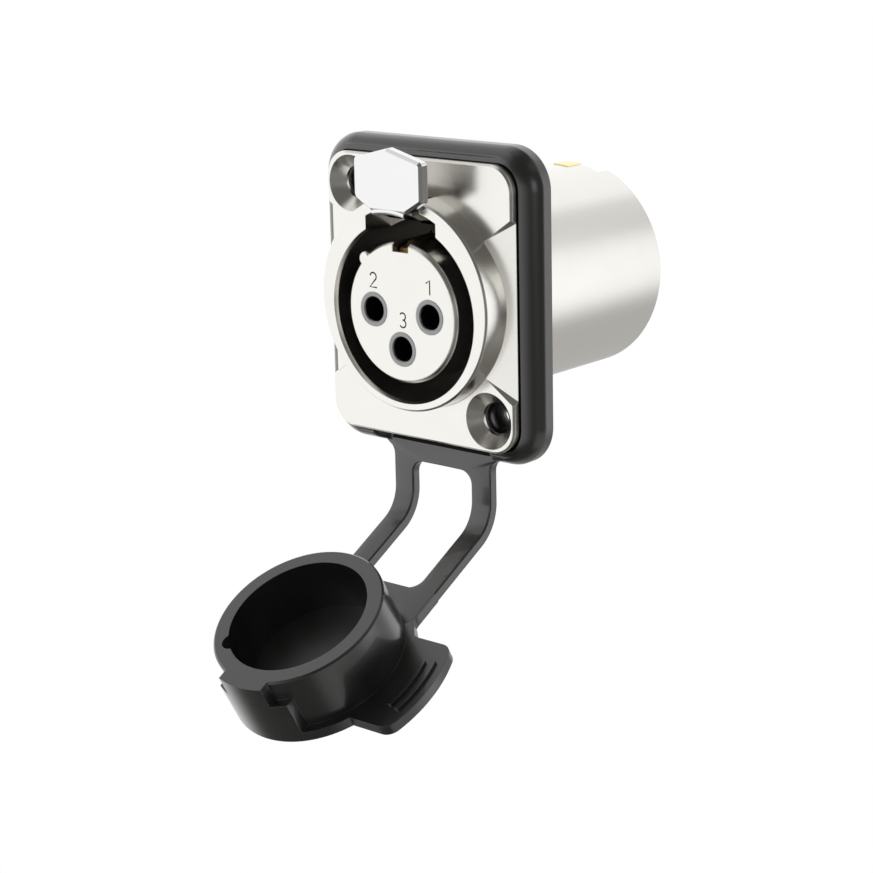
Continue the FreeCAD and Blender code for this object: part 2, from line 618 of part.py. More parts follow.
def make_strap():
    """Two-legged strap: cross-piece, legs, bend and straight run to the cap."""
    top, first, middle, last, end, centre, along = strap_side_profile()
    half = STRAP_THICKNESS / 2.0
    front = V(0, -half, 0)
    up = V(0, -along.z, along.y)
    outer_mid = centre + (middle - centre) * ((STRAP_BEND_RADIUS + half) / STRAP_BEND_RADIUS)
    inner_mid = centre + (middle - centre) * ((STRAP_BEND_RADIUS - half) / STRAP_BEND_RADIUS)
    edges = [
        Part.Arc(top + front, top + V(0, 0, half), top - front).toShape(),
        Part.makeLine(top - front, first - front),
        Part.Arc(first - front, outer_mid, last - up * half).toShape(),
        Part.makeLine(last - up * half, end - up * half),
        Part.Arc(end - up * half, end - along * half, end + up * half).toShape(),
        Part.makeLine(end + up * half, last + up * half),
        Part.Arc(last + up * half, inner_mid, first + front).toShape(),
        Part.makeLine(first + front, top + front),
    ]
    face = Part.Face(Part.Wire(edges))
    left = STRAP_CENTRE_X - STRAP_HALF
    sheet = face.extrude(V(2 * STRAP_HALF, 0, 0))
    sheet.translate(V(left, 0, 0))
    window_left = STRAP_CENTRE_X - STRAP_WINDOW_HALF
    window_right = STRAP_CENTRE_X + STRAP_WINDOW_HALF
    window = box(window_left, window_right, -BEYOND, BEYOND, -BEYOND, STRAP_WINDOW_TOP)
    upright = [e for e in window.Edges if e.BoundBox.YLength > BEYOND
               and e.BoundBox.ZMin > STRAP_WINDOW_TOP - 0.01]
    window = window.makeFillet(STRAP_CORNER, upright)
    strap = sheet.cut(window)
    flares = []
    y0 = GASKET_FRONT
    y1 = GASKET_BACK
    z_top = top.z
    r = STRAP_FLARE
    for side in (-1, 1):
        x = STRAP_CENTRE_X + side * STRAP_HALF
        x0 = min(x, x + side * r)
        block = box(x0, x0 + r, y0, y1, z_top - r, z_top)
        flares.append(block.cut(cylinder(r, y0 - 1, y1 + 1, x + side * r, z_top - r)))
        flares.append(Part.makeCylinder(half, r, V(x0, top.y, top.z), AXIS_X))
    return strap.fuse(flares)


def main():
    """Build every node and write it."""
    os.makedirs("parts", exist_ok=True)
    shell = make_shell().cut(clip_groove())
    save(shell, "flange_shell")
    save(make_carrier(), "contact_insert")
    for number, x, z in contact_places():
        save(make_contact(x, z), "contact_%d" % number)
    save(make_rear_insulator(), "rear_insulator")
    save(make_retaining_ring(), "retaining_ring")
    save(make_face_seal(), "face_seal")
    save(make_keyway_spring(), "keyway_spring")
    save(make_earth_clip(), "earth_clip")
    save(make_lever(), "push_lever")
    pin = Part.makeCylinder(PIN_RADIUS, PIN_RIGHT - PIN_LEFT, V(PIN_LEFT, PIVOT_Y, PIVOT_Z), AXIS_X)
    save(pin, "lever_pin")
    save(make_lever_spring(), "lever_spring")
    save(make_gasket(), "panel_gasket")
    save(make_strap(), "cap_strap")
    save(make_cap(), "sealing_cap")


main()
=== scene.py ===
"""Looks of the round three-contact panel socket with its rubber sealing cap."""

import json
import logging
import math
from dataclasses import dataclass, field, replace
from enum import Enum
from typing import Dict, List, Optional, Sequence, Tuple

import bpy
import numpy as np
from mathutils import Matrix, Vector

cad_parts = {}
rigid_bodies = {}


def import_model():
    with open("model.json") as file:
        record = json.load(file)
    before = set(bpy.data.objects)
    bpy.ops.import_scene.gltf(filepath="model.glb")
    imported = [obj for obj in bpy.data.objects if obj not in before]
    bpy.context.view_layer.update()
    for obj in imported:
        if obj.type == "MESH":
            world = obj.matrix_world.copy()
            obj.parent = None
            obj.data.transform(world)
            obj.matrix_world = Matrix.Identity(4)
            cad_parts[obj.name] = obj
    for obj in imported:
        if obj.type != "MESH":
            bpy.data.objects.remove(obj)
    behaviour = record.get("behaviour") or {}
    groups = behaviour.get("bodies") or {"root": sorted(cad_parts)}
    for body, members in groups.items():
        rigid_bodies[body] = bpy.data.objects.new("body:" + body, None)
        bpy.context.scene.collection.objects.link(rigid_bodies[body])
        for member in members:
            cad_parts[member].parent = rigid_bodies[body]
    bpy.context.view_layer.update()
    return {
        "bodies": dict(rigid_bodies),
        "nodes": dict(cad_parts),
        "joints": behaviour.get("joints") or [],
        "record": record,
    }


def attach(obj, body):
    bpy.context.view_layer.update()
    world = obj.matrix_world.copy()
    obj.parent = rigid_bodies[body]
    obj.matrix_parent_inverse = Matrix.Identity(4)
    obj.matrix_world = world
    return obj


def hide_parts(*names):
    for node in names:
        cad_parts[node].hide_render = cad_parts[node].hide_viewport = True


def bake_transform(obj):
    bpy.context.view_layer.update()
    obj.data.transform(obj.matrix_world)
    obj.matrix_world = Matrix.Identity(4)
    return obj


Vec3 = Tuple[float, float, float]
Piece = bpy.types.Object
Node = bpy.types.Node
Socket = bpy.types.NodeSocket

MM = 0.001
# Depth of the plane of the flange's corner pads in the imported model, in millimetres
PAD_DEPTH = -4.1
WHITE = (1.0, 1.0, 1.0, 1.0)
LOG = logging.getLogger("panel_socket")


class Body(Enum):
    """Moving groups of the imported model."""

    SOCKET = "socket"
    LATCH = "latch"
    STRAP = "strap"
    CAP = "cap"


class Slot(Enum):
    """Material slots of the record."""

    SHELL = "nickel_shell"
    LEVER = "nickel_lever"
    CARRIER = "carrier"
    CONTACT = "contact_plate"
    PLASTIC = "dark_plastic"
    RUBBER = "rubber"
    BRASS = "spring_brass"
    STEEL = "steel"


def smooth(x: np.ndarray) -> np.ndarray:
    """Cubic step from 0 to 1, flat outside that range."""
    t = np.clip(x, 0.0, 1.0)
    return t * t * (3.0 - 2.0 * t)


def grey(level: float) -> Vec3:
    """Neutral tone."""
    return (level, level, level)


def signed_volume(points: np.ndarray, quads: np.ndarray) -> float:
    """Volume that the quads enclose, negative when they face inwards.

    Args:
        points: Corner points, one row each.
        quads: Four point numbers per row.

    Returns:
        The sum of the tetrahedra from the origin to each half quad.
    """
    a, b, c, d = (points[quads[:, k]] for k in range(4))
    first = np.einsum("ij,ij->i", a, np.cross(b, c)).sum()
    second = np.einsum("ij,ij->i", a, np.cross(c, d)).sum()
    return float(first + second) / 6.0


def mesh_piece(name: str, points: np.ndarray, quads: np.ndarray, sharp_deg: float = 35.0) -> Piece:
    """Make one object from points in millimetres and quads.

    Args:
        name: Name of the piece.
        points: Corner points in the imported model's frame, in millimetres.
        quads: Four point numbers per row.
        sharp_deg: Edges that turn more than this stay crisp.

    Returns:
        The linked object, with its faces pointing outwards.
    """
    if signed_volume(points, quads) < 0.0:
        quads = quads[:, ::-1]
    mesh = bpy.data.meshes.new(name)
    mesh.vertices.add(len(points))
    mesh.vertices.foreach_set("co", (points * MM).astype(np.float32).ravel())
    mesh.loops.add(quads.size)
    mesh.loops.foreach_set("vertex_index", quads.astype(np.int32).ravel())
    mesh.polygons.add(len(quads))
    mesh.polygons.foreach_set("loop_start", np.arange(0, quads.size, 4, dtype=np.int32))
    mesh.polygons.foreach_set("use_smooth", np.ones(len(quads), bool))
    mesh.update(calc_edges=True)
    mesh.validate()
    mesh.set_sharp_from_angle(angle=math.radians(sharp_deg))
    piece = bpy.data.objects.new(name, mesh)
    bpy.context.scene.collection.objects.link(piece)
    return piece


def grid_quads(rows: int, columns: int, close_rows: bool, close_columns: bool) -> np.ndarray:
    """Quads of a grid of points stored row by row.

    Args:
        rows: Number of rows.
        columns: Number of points in each row.
        close_rows: Join the last row to the first.
        close_columns: Join the last column to the first.

    Returns:
        Four point numbers per quad.
    """
    i = np.arange(rows if close_rows else rows - 1)
    j = np.arange(columns if close_columns else columns - 1)
    ii, jj = np.meshgrid(i, j, indexing="ij")
    here = ii * columns
    above = (ii + 1) % rows * columns
    right = (jj + 1) % columns
    return np.stack([here + jj, here + right, above + right, above + jj], -1).reshape(-1, 4)


def end_caps(rows: int, columns: int) -> np.ndarray:
    """Quads that close both ends of an open tube, folding each end row across its middle.

    Args:
        rows: Number of rows.
        columns: Number of points in each row, an even number.

    Returns:
        Four point numbers per quad.
    """
    k = np.arange(columns // 2 - 1)
    low = np.stack([k, k + 1, columns - 2 - k, columns - 1 - k], -1)
    high = low[:, ::-1] + (rows - 1) * columns
    return np.concatenate([low[:, ::-1], high[:, ::-1]])


def tube(name: str, x: np.ndarray, y: np.ndarray, z: np.ndarray, sharp_deg: float = 35.0) -> Piece:
    """Make a closed tube from a grid of points: each row is one closed section, and both ends are capped.

    Args:
        name: Name of the piece.
        x: Places across, in millimetres.
        y: Depths behind the corner pads, in millimetres.
        z: Heights, in millimetres. The three are broadcast to one grid.
        sharp_deg: Edges that turn more than this stay crisp.

    Returns:
        The object.
    """
    shape = np.broadcast_shapes(x.shape, y.shape, z.shape)
    points = np.stack([np.broadcast_to(part, shape) for part in (x, y + PAD_DEPTH, z)], -1)
    quads = np.concatenate([grid_quads(*shape, False, True), end_caps(*shape)])
    return mesh_piece(name, points.reshape(-1, 3), quads, sharp_deg)


def lathe(name: str, profile: np.ndarray, centre: Tuple[float, float], steps: int) -> Piece:
    """Turn a closed outline around an axis that runs in depth.

    Args:
        name: Name of the piece.
        profile: Radius and depth of each outline point, in millimetres.
        centre: Position of the axis across and up.
        steps: Number of points around.

    Returns:
        The object.
    """
    turn = np.linspace(0.0, 2.0 * math.pi, steps, endpoint=False)[:, None]
    radius = profile[None, :, 0]
    x = centre[0] + radius * np.cos(turn)
    z = centre[1] + radius * np.sin(turn)
    y = np.broadcast_to(profile[None, :, 1] + PAD_DEPTH, x.shape)
    quads = grid_quads(steps, len(profile), True, True)
    return mesh_piece(name, np.stack([x, y, z], -1).reshape(-1, 3), quads)


@dataclass(frozen=True)
class NodeSheet:
    """A node tree with short calls for adding and joining nodes."""

    tree: bpy.types.NodeTree

    def feed(self, socket: Socket, value: object) -> None:
        """Link an output into an input, or set the input to a plain value.

        Args:
            socket: Input to fill.
            value: Another node's output, or a number or colour.
        """
        if isinstance(value, bpy.types.NodeSocket):
            self.tree.links.new(value, socket)
        else:
            socket.default_value = value

    def add(self, kind: str, **settings: object) -> Node:
        """Add one node and fill its properties or input sockets by name.

        Args:
            kind: Node type name.
            settings: Values or outputs; an underscore stands for a space in a socket's name.

        Returns:
            The new node.
        """
        node = self.tree.nodes.new(kind)
        for key, value in settings.items():
            if hasattr(node, key):
                setattr(node, key, value)
            else:
                self.feed(node.inputs[key.replace("_", " ")], value)
        return node

    def calculate(self, operation: str, *values: object) -> Socket:
        """Add one Math node.

        Args:
            operation: Name of the operation.
            values: Outputs to link or numbers to set, in input order.

        Returns:
            The node's result.
        """
        node = self.add("ShaderNodeMath", operation=operation)
        for socket, value in zip(node.inputs, values):
            self.feed(socket, value)
        return node.outputs["Value"]

    def noise(self, place: Socket, size_mm: float, detail: float, roughness: float) -> Socket:
        """Add a soft noise.

        Args:
            place: Coordinates to read.
            size_mm: Size of its patches.
            detail: Number of finer layers.
            roughness: Weight of the finer layers.

        Returns:
            The noise, about 0.5 on average.
        """
        node = self.add("ShaderNodeTexNoise", Scale=1.0 / (size_mm * MM), Detail=detail,
                        Roughness=roughness, Vector=place)
        return node.outputs["Fac"]

    def mix_colours(self, share: Socket, first: object, second: object) -> Socket:
        """Mix two colours.

        Args:
            share: Share of the second one.
            first: Colour or output.
            second: Colour or output.

        Returns:
            The mixed colour.
        """
        node = self.add("ShaderNodeMix", data_type="RGBA", Factor=share)
        colours = [socket for socket in node.inputs if socket.type == "RGBA"]
        self.feed(colours[0], first)
        self.feed(colours[1], second)
        return next(socket for socket in node.outputs if socket.type == "RGBA")

    def mix_shaders(self, share: Socket, first: Node, second: Node) -> Node:
        """Mix two shaders.

        Args:
            share: Share of the second one.
            first: Shader node.
            second: Shader node.

        Returns:
            The mixing node.
        """
        node = self.add("ShaderNodeMixShader")
        for socket, value in zip(node.inputs, (share, first.outputs[0], second.outputs[0])):
            self.feed(socket, value)
        return node


def blank_material(name: str) -> Tuple[bpy.types.Material, NodeSheet]:
    """Make a material with an empty node tree.

    Args:
        name: Name of the material.

    Returns:
        The material and its node sheet.
    """
    material = bpy.data.materials.new(name)
    material.use_nodes = True
    material.node_tree.nodes.clear()
    return material, NodeSheet(material.node_tree)


@dataclass(frozen=True)
class Finish:
    """A surface finish: two tones, a roughness range, fine grain and rounded edges.

    The tone and the roughness wander with a soft noise; the grain is a second, finer noise used as
    relief; edges are rounded by a bevel of the given radius, and a radius of 0 leaves it out. Behind a
    given depth the tone can turn darker, which is painted shade for a recess.
    """

    name: str
    tone_a: Vec3
    tone_b: Vec3
    metallic: float
    rough: Tuple[float, float]
    patch_mm: float
    grain_mm: float
    grain_depth_mm: float
    edge_mm: float
    specular: float = 0.5
    coat: float = 0.0
    # Painted shade: the depth behind which the tone darkens, its dark tone and the width of its border
    painted_shade_from_mm: Optional[float] = None
    painted_shade_tone: Vec3 = (0.0, 0.0, 0.0)
    painted_shade_border_mm: float = 0.5

    def build(self) -> bpy.types.Material:
        """Make the material.

        Returns:
            The material.
        """
        material, sheet = blank_material(self.name)
        place = sheet.add("ShaderNodeTexCoord").outputs["Object"]
        patch = sheet.noise(place, self.patch_mm, 4.0, 0.6)
        tone = sheet.mix_colours(patch, (*self.tone_a, 1.0), (*self.tone_b, 1.0))
        # Painted shade: behind the given depth the tone turns darker
        if self.painted_shade_from_mm is not None:
            tone = self.paint_shade(sheet, place, tone)
        rough = sheet.add("ShaderNodeMapRange", To_Min=self.rough[0], To_Max=self.rough[1], Value=patch)
        grain = sheet.noise(place, self.grain_mm, 3.0, 0.55)
        relief = sheet.add("ShaderNodeBump", Strength=1.0, Distance=self.grain_depth_mm * MM, Height=grain)
        if self.edge_mm > 0.0:
            edge = sheet.add("ShaderNodeBevel", samples=6, Radius=self.edge_mm * MM)
            sheet.feed(relief.inputs["Normal"], edge.outputs["Normal"])
        shader = sheet.add(
            "ShaderNodeBsdfPrincipled", Metallic=self.metallic, Specular_IOR_Level=self.specular,
            Coat_Weight=self.coat, Base_Color=tone, Roughness=rough.outputs["Result"],
            Normal=relief.outputs["Normal"])
        sheet.add("ShaderNodeOutputMaterial", Surface=shader.outputs["BSDF"])
        return material

    def paint_shade(self, sheet: NodeSheet, place: Socket, tone: Socket) -> Socket:
        """Paint shade: turn to a darker tone behind a given depth, over a soft border.

        Args:
            sheet: Node sheet to add to.
            place: Object coordinates.
            tone: Colour in front of that depth.

        Returns:
            The mixed colour.
        """
        depth = sheet.add("ShaderNodeSeparateXYZ", Vector=place).outputs["Y"]
        step = sheet.add(
            "ShaderNodeMapRange", interpolation_type="SMOOTHSTEP", From_Min=self.painted_shade_from_mm * MM,
            From_Max=(self.painted_shade_from_mm + self.painted_shade_border_mm) * MM, Value=depth)
        return sheet.mix_colours(step.outputs["Result"], tone, (*self.painted_shade_tone, 1.0))


NICKEL_LIGHT = (0.83, 0.816, 0.778)
NICKEL_DEEP = (0.81, 0.795, 0.755)

SATIN_NICKEL = Finish("satin_nickel", NICKEL_LIGHT, NICKEL_DEEP, metallic=1.0, rough=(0.19, 0.24),
                      patch_mm=3.0, grain_mm=0.10, grain_depth_mm=0.0008, edge_mm=0.09)
# The tab is bright; the arm behind it lies in the shade of the slot, painted as a darker tone
BRIGHT_NICKEL = Finish("bright_nickel", grey(0.815), grey(0.80), metallic=1.0, rough=(0.16, 0.20),
                       patch_mm=2.5, grain_mm=0.09, grain_depth_mm=0.0006, edge_mm=0.06,
                       painted_shade_from_mm=-7.6, painted_shade_tone=(0.16, 0.145, 0.13))
SILVERED_CARRIER = Finish("silvered_carrier", NICKEL_LIGHT, NICKEL_DEEP, metallic=1.0, rough=(0.20, 0.25),
                          patch_mm=2.0, grain_mm=0.08, grain_depth_mm=0.0008, edge_mm=0.28)
DULL_SILVER = Finish("dull_silver", (0.31, 0.312, 0.316), (0.28, 0.282, 0.286), metallic=1.0,
                     rough=(0.26, 0.34), patch_mm=1.0, grain_mm=0.06, grain_depth_mm=0.001, edge_mm=0.06)
BLACK_PLASTIC = Finish("black_plastic", grey(0.010), grey(0.014), metallic=0.0, rough=(0.40, 0.5),
                       patch_mm=2.0, grain_mm=0.12, grain_depth_mm=0.003, edge_mm=0.08)
MOULDED_RUBBER = Finish("moulded_rubber", (0.011, 0.011, 0.0112), (0.014, 0.014, 0.0142), metallic=0.0,
                        rough=(0.28, 0.31), patch_mm=3.5, grain_mm=0.14, grain_depth_mm=0.0010,
                        edge_mm=0.10, specular=1.0, coat=0.42)
PALE_GOLD = Finish("pale_gold_strip", (0.96, 0.82, 0.46), (0.92, 0.77, 0.40), metallic=1.0,
                   rough=(0.18, 0.25), patch_mm=1.0, grain_mm=0.08, grain_depth_mm=0.001, edge_mm=0.05)
DRAWN_STEEL = Finish("drawn_steel", (0.56, 0.56, 0.57), (0.50, 0.50, 0.51), metallic=1.0,
                     rough=(0.25, 0.33), patch_mm=0.6, grain_mm=0.05, grain_depth_mm=0.001, edge_mm=0.05)
# Painted shade: a darker copy of the brass for the spring strip in the shaded keyway
PAINTED_SHADE_BRASS = Finish("painted_shade_brass", (0.26, 0.17, 0.055), (0.20, 0.13, 0.04), metallic=1.0,
                      rough=(0.28, 0.38), patch_mm=0.8, grain_mm=0.08, grain_depth_mm=0.001, edge_mm=0.05)
# The strap, the bead and the sleeves have their rounded edges in the mesh, so they take no bevel
ROUND_EDGED_RUBBER = replace(MOULDED_RUBBER, name="round_edged_rubber", edge_mm=0.0)
# Painted light: a lighter copy of the cap's rubber for the floor of the cup
PAINTED_LIGHT_RUBBER = Finish("satin_rubber_painted_light", (0.028, 0.028, 0.0285), (0.034, 0.034, 0.0345), metallic=0.0,
                      rough=(0.36, 0.42), patch_mm=3.5, grain_mm=0.14, grain_depth_mm=0.0010,
                      edge_mm=0.0, specular=1.0, coat=0.2)
# Painted shadow: near-black matt rubber for the dark gap under the flange's lower edge
PAINTED_SHADOW_RUBBER = Finish("painted_shadow_rubber", grey(0.004), grey(0.006), metallic=0.0, rough=(0.6, 0.7), patch_mm=1.0,
                     grain_mm=0.1, grain_depth_mm=0.002, edge_mm=0.0, specular=0.1)
# Painted shade: the numerals' dark brown stands in for the shade in their grooves
NUMERAL_GROOVE_SHADE = Finish("numeral_groove_painted_shade", (0.05, 0.038, 0.028), (0.085, 0.066, 0.05), metallic=0.0,
                     rough=(0.5, 0.6), patch_mm=0.5, grain_mm=0.05, grain_depth_mm=0.001, edge_mm=0.02,
                     specular=0.2)

FINISHES: Dict[Slot, Finish] = {
    Slot.SHELL: SATIN_NICKEL,
    Slot.LEVER: BRIGHT_NICKEL,
    Slot.CARRIER: SILVERED_CARRIER,
    Slot.CONTACT: DULL_SILVER,
    Slot.PLASTIC: BLACK_PLASTIC,
    Slot.RUBBER: MOULDED_RUBBER,
    Slot.BRASS: PALE_GOLD,
    Slot.STEEL: DRAWN_STEEL,
}


@dataclass
class PackedNodes:
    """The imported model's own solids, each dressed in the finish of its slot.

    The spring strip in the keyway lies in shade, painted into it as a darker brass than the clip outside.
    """

    frame: Dict[str, object]
    painted_shade_node: str = "keyway_spring"
    materials: Dict[Slot, bpy.types.Material] = field(default_factory=dict)

    def prepare(self) -> None:
        """Build every finish once."""
        for slot, finish in FINISHES.items():
            self.materials[slot] = finish.build()

    def dress(self) -> None:
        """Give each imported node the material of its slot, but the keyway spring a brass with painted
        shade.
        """
        slots = {row["node"]: Slot(row["material_slot"]) for row in self.frame["record"]["subparts"]}
        painted_shade_material = PAINTED_SHADE_BRASS.build()
        for name, piece in self.frame["nodes"].items():
            material = painted_shade_material if name == self.painted_shade_node else self.materials[slots[name]]
            piece.data.materials.clear()
            piece.data.materials.append(material)
            LOG.info("dressed %s as %s", name, slots[name].value)


@dataclass
class StrapPath:
    """Centre line of the strap in the plane of depth and height, with its sheet normal."""

    line_y: float = 3.5
    top_z: float = -17.2
    bend_radius: float = 4.6
    tilt_deg: float = 60.54
    cap_y: float = -20.39
    cap_z: float = -30.12
    plate_middle: float = 7.25
    web_end: float = 12.0

    def cap_point(self, b: np.ndarray, h: np.ndarray) -> Tuple[np.ndarray, np.ndarray]:
        """Place a point of the cap, whose frame is turned by the tilt.

        Args:
            b: Distance from the cap's middle towards the strap.
            h: Distance down from the cap's rim.

        Returns:
            Depth and height arrays.
        """
        t = math.radians(self.tilt_deg)
        depth = self.cap_y + b * math.sin(t) + h * math.cos(t)
        return depth, self.cap_z + b * math.cos(t) - h * math.sin(t)

    def lengths(self) -> Tuple[float, float, float]:
        """Measure the strap: its arc touches the upright line and the line through the cap's web.

        Returns:
            Lengths of the upright run, the bend and the straight run to the cap.
        """
        t = math.radians(self.tilt_deg)
        end_y, end_z = self.cap_point(np.array(self.web_end), np.array(self.plate_middle))
        run = (self.line_y - float(end_y)) / math.sin(t)
        corner_z = float(end_z) + run * math.cos(t)
        reach = self.bend_radius * math.tan(t / 2.0)
        return (self.top_z - (corner_z + reach), self.bend_radius * t, run - reach)

    def point(self, s: np.ndarray, n: np.ndarray) -> Tuple[np.ndarray, np.ndarray]:
        """Depth and height at distance s along the strap and n off its middle, towards the back.

        The path is upright, then a circular arc that turns forward by the cap's tilt, then straight.

        Args:
            s: Distance from the gasket's lower edge, in millimetres.
            n: Offset across the sheet, positive away from the socket's front.

        Returns:
            Depth and height arrays.
        """
        upright, bend, _ = self.lengths()
        angle = np.clip((s - upright) / self.bend_radius, 0.0, math.radians(self.tilt_deg))
        before = np.minimum(s, upright)
        after = np.maximum(s - upright - bend, 0.0)
        r = self.bend_radius
        y = self.line_y - r * (1.0 - np.cos(angle)) - after * np.sin(angle)
        z = self.top_z - before - r * np.sin(angle) - after * np.cos(angle)
        return y + n * np.cos(angle), z - n * np.sin(angle)


@dataclass
class StrapSkin:
    """Rubber strap as a rounded section carried once around its window.

    The window's edge and the strap's outer edge are matched point by point. The section between them
    is a flat sheet with round edges. The ring is cut across both legs into an upper and a lower piece.
    """

    path: StrapPath = field(default_factory=StrapPath)
    centre: float = 0.2
    half: float = 6.965
    window: float = 4.235
    thickness: float = 1.2
    proud: float = 0.012
    edge: float = 0.2
    flare: float = 1.5
    corner: float = 1.5
    window_top: float = 1.9
    top_reach: float = -0.42
    cup_radius: float = 9.4
    web_corner: Tuple[float, float] = (6.2, 8.05)
    cut_at: float = 6.0
    edge_steps: int = 6
    corner_steps: int = 9
    upper_steps: int = 16
    lower_steps: int = 26
    cross_steps: int = 13
    turn_in: int = 8
    crisp_deg: float = 40.0

    def window_edge(self, s: np.ndarray) -> np.ndarray:
        """Distance of the window's edge from the middle, rounded into the cross-piece and the web.

        Args:
            s: Distances along the strap.

        Returns:
            The window's half width, less a quarter circle at either end.
        """
        total = sum(self.path.lengths())
        r = self.corner
        top = np.clip((self.window_top + r - s) / r, 0.0, 1.0)
        low = np.clip((s - (total - r)) / r, 0.0, 1.0)
        near = np.maximum(top, low)
        return self.window - r * (1.0 - np.sqrt(1.0 - near ** 2))

    def outer_edge(self, s: np.ndarray) -> np.ndarray:
        """Distance of the outer edge from the middle, flaring out in an arc at the gasket."""
        near = np.clip((self.flare - s) / self.flare, 0.0, 1.0)
        return self.half + self.flare * (1.0 - np.sqrt(1.0 - near ** 2))

    def section(self) -> Tuple[np.ndarray, np.ndarray, np.ndarray]:
        """Closed section of the sheet: four quarter circles joined by flat faces.

        Returns:
            The edge that each point belongs to, 0 for the window's and 1 for the outer one, its
            distance in from that edge, and its offset off the sheet's middle.
        """
        quarter = np.linspace(0.0, math.pi / 2.0, self.edge_steps)
        r = self.edge
        half = self.thickness / 2.0 + self.proud
        across = np.concatenate([-np.sin(quarter), -np.cos(quarter), np.sin(quarter), np.cos(quarter)])
        off = np.concatenate([np.cos(quarter), -np.sin(quarter), -np.cos(quarter), np.sin(quarter)])
        side = np.repeat([0.0, 1.0], 2 * self.edge_steps)
        sign = np.repeat([1.0, -1.0, -1.0, 1.0], self.edge_steps)
        return side, r + r * across * np.where(side > 0, -1.0, 1.0), sign * (half - r) + r * off

    def ring(self, lower: bool) -> Tuple[np.ndarray, np.ndarray, np.ndarray, np.ndarray]:
        """Match the window's edge with the outer edge, from the right leg round to the left one.

        Each leg's points run to the window's end, where the outer ones turn in to the far corner. The
        points between the legs are spread evenly across.

        Args:
            lower: True for the piece at the cap, False for the one at the gasket.

        Returns:
            Distances across and along of the window's edge, then those of the outer edge.
        """
        total = sum(self.path.lengths())
        r = self.corner
        turn = np.sin(np.linspace(0.0, math.pi / 2.0, self.corner_steps))[1:]
        if lower:
            begin = total - r
            leg = np.concatenate([np.linspace(self.cut_at, begin, self.lower_steps), begin + r * turn])
            cross = total
            corner = total + self.path.web_end - self.web_corner[1]
        else:
            begin = self.window_top + r
            leg = np.concatenate([np.linspace(self.cut_at, begin, self.upper_steps), begin - r * turn])
            cross = self.window_top
            corner = self.top_reach
        spread = np.linspace(1.0, -1.0, self.cross_steps)[1:-1]
        inner = self.window_edge(leg)
        window_u = np.concatenate([inner, spread * inner[-1], -inner[::-1]])
        window_s = np.concatenate([leg, np.full(len(spread), cross), leg[::-1]])
        leg_s = leg.copy()
        last = leg[-self.turn_in]
        leg_s[-self.turn_in:] = last + (corner - last) * np.linspace(0.0, 1.0, self.turn_in)
        if lower:
            leg_u = np.full(len(leg), self.half)
            far_u = spread / spread[0] * self.web_corner[0]
            far_s = total + self.path.web_end - np.sqrt(self.cup_radius ** 2 - (far_u + self.centre) ** 2)
        else:
            leg_u = self.outer_edge(np.maximum(leg_s, 0.0))
            far_u = spread * leg_u[-1]
            far_s = np.full(len(spread), corner)
        outer_u = np.concatenate([leg_u, far_u, -leg_u[::-1]])
        outer_s = np.concatenate([leg_s, far_s, leg_s[::-1]])
        return window_u, window_s, outer_u, outer_s

    def build(self, name: str, lower: bool) -> Piece:
        """Build one of the two pieces, with the section's points set in from either edge.

        Args:
            name: Name of the piece.
            lower: True for the piece at the cap, False for the one at the gasket.

        Returns:
            The object.
        """
        window_u, window_s, outer_u, outer_s = self.ring(lower)
        side, inset, off = self.section()
        du = outer_u - window_u
        ds = outer_s - window_s
        inward = inset[None, :] / np.hypot(du, ds)[:, None]
        share = np.where(side[None, :] > 0, 1.0 - inward, inward)
        u = window_u[:, None] + du[:, None] * share
        s = window_s[:, None] + ds[:, None] * share
        y, z = self.path.point(s, off[None, :])
        return tube(name, self.centre + u, y, z, self.crisp_deg)


